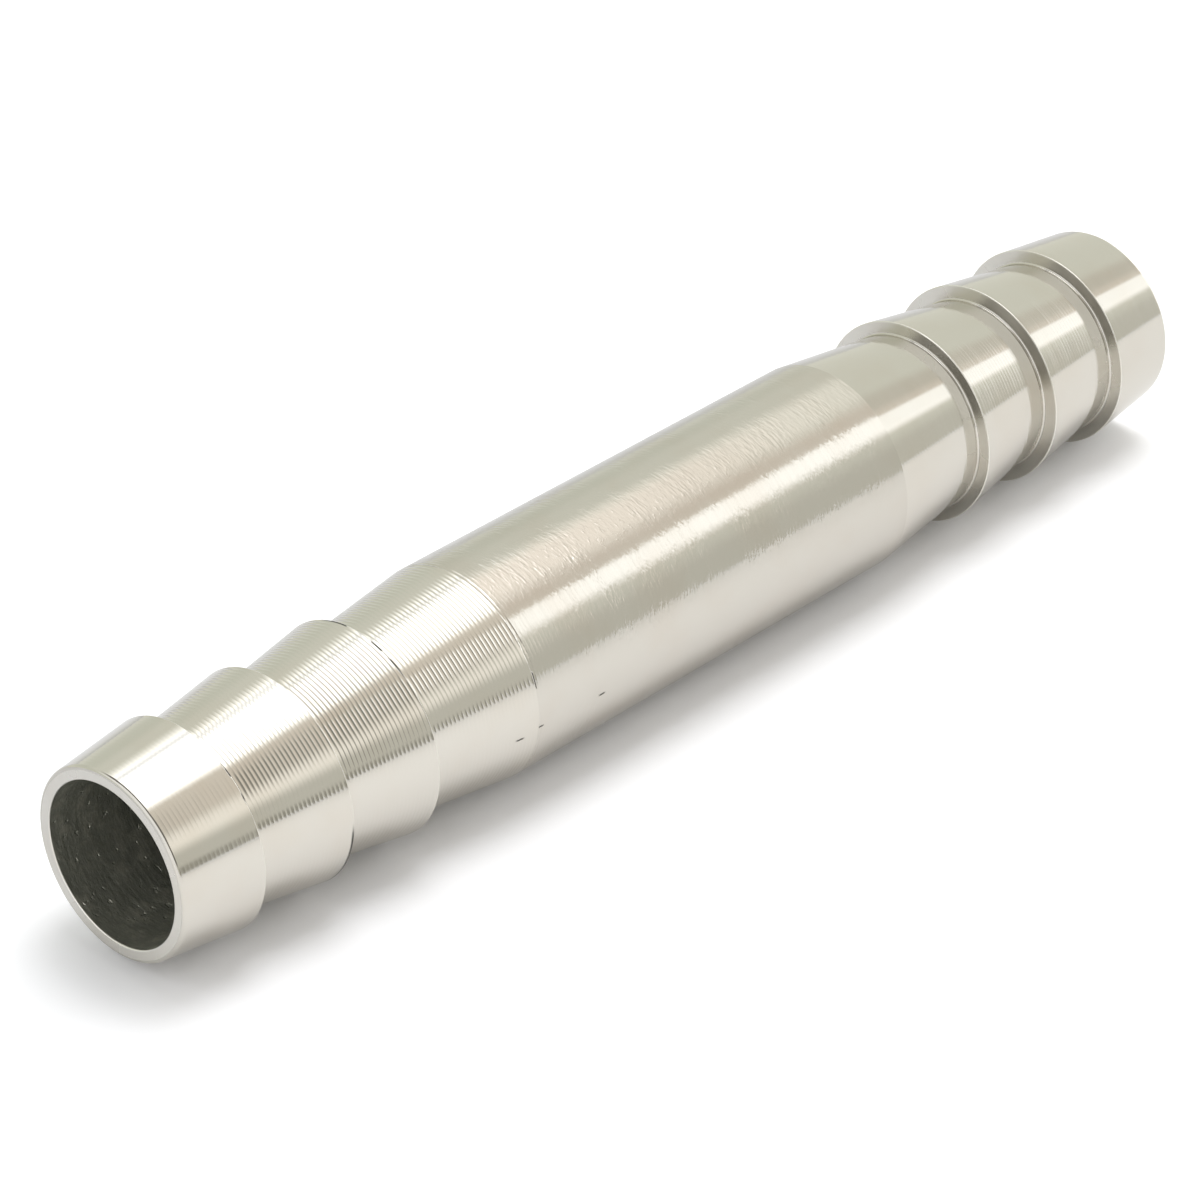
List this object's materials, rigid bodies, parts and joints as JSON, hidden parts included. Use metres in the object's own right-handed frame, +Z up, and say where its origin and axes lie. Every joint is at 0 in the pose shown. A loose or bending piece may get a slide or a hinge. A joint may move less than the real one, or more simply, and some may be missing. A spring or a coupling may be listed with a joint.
{
  "type": "double-ended hose barb tail",
  "caption": "Straight stainless steel tube with barbs at both ends and a plain barrel between, for joining two soft hoses.",
  "frame": {"origin": "centre of the bottom end face", "axes": "+Z up along the tube's axis"},
  "size_m": [0.008, 0.008, 0.05],
  "materials": {
    "turned_steel": "bare turned stainless steel with fine feed marks round the barbs and light polishing scratches round the barrel"
  },
  "bodies": {
    "root": {"barbed_tail": "turned_steel"}
  },
  "joints": []
}
